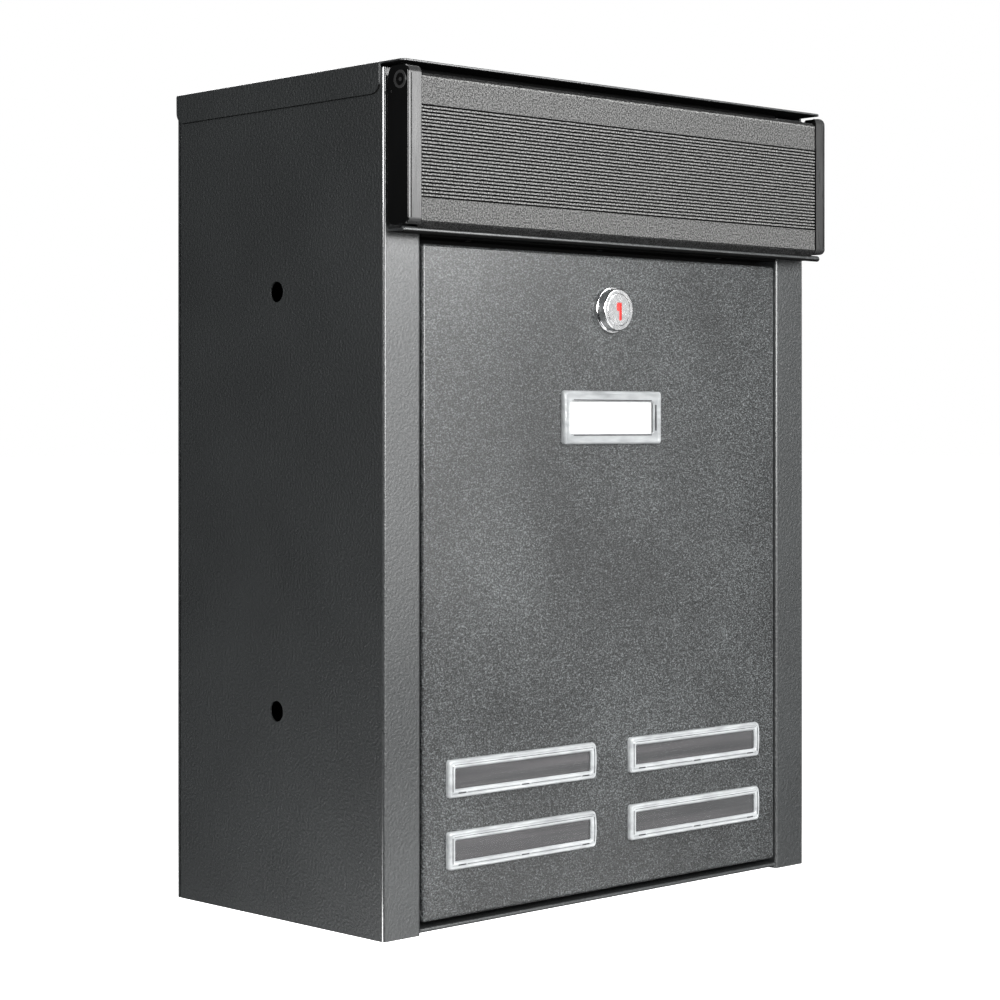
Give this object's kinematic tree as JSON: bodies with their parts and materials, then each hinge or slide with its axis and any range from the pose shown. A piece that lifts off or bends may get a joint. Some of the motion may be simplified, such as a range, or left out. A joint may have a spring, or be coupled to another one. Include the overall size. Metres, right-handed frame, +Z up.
{
  "type": "wall mounted mailbox",
  "caption": "Wall mounted sheet metal mailbox with an overhanging lid, a hinged flap over the mail slot, a bottom hinged door with a cam lock, and clear name plate covers.",
  "frame": {"origin": "centre of the back face, on the wall, at half the height of the case", "axes": "+Z up, -Y out of the wall towards the viewer, +X to the viewer's right"},
  "size_m": [0.3024, 0.1708, 0.4015],
  "materials": {
    "case_paint": "fine textured anthracite powder coat",
    "flap_metal": "fine sand textured grey coat",
    "bracket_steel": "black zinc plated",
    "rivet_steel": "satin",
    "cap_black": "gloss black",
    "lock_chrome": "polished",
    "zinc_steel": "satin zinc plated",
    "shutter_red": "satin red",
    "clear_cover": "clear, polished",
    "card_white": "matte white card",
    "insert_dark": "matte dark grey card"
  },
  "bodies": {
    "case": {"left_side": "case_paint", "right_side": "case_paint", "back_panel": "case_paint", "back_rivets": "rivet_steel", "floor_panel": "case_paint", "lid": "case_paint", "mouth_ledge": "case_paint", "door_rail": "case_paint", "ledge_rivets": "rivet_steel", "mouth_header": "case_paint", "flap_bracket_left": "bracket_steel", "flap_bracket_right": "bracket_steel", "bracket_rivets": "rivet_steel", "door_hinge_pins": "rivet_steel"},
    "flap": {"flap_plate": "flap_metal", "flap_cap_left": "cap_black", "flap_cap_right": "cap_black", "flap_pivot_pins": "cap_black"},
    "door": {"door_panel": "case_paint", "lock_housing": "lock_chrome", "lock_washer": "zinc_steel", "lock_nut": "zinc_steel", "name_cover_main": "clear_cover", "name_card_main": "card_white", "name_cover_upper_left": "clear_cover", "name_cover_upper_right": "clear_cover", "name_cover_lower_left": "clear_cover", "name_cover_lower_right": "clear_cover", "name_insert_upper_left": "insert_dark", "name_insert_upper_right": "insert_dark", "name_insert_lower_left": "insert_dark", "name_insert_lower_right": "insert_dark"},
    "lock": {"lock_plug": "lock_chrome", "keyway_shutter": "shutter_red", "lock_cam": "zinc_steel", "cam_screw": "zinc_steel"}
  },
  "joints": [
    {"name": "flap_hinge", "type": "hinge", "parent": "case", "child": "flap", "pos_m": [0, -0.1652, 0.192], "axis": [-1, 0, 0], "range_deg": [0, 80]},
    {"name": "door_hinge", "type": "hinge", "parent": "case", "child": "door", "pos_m": [0, -0.1506, -0.1902], "axis": [1, 0, 0], "range_deg": [0, 100]},
    {"name": "lock_turn", "type": "hinge", "parent": "door", "child": "lock", "pos_m": [0, -0.1605, 0.0925], "axis": [0, -1, 0], "range_deg": [0, 90]}
  ]
}
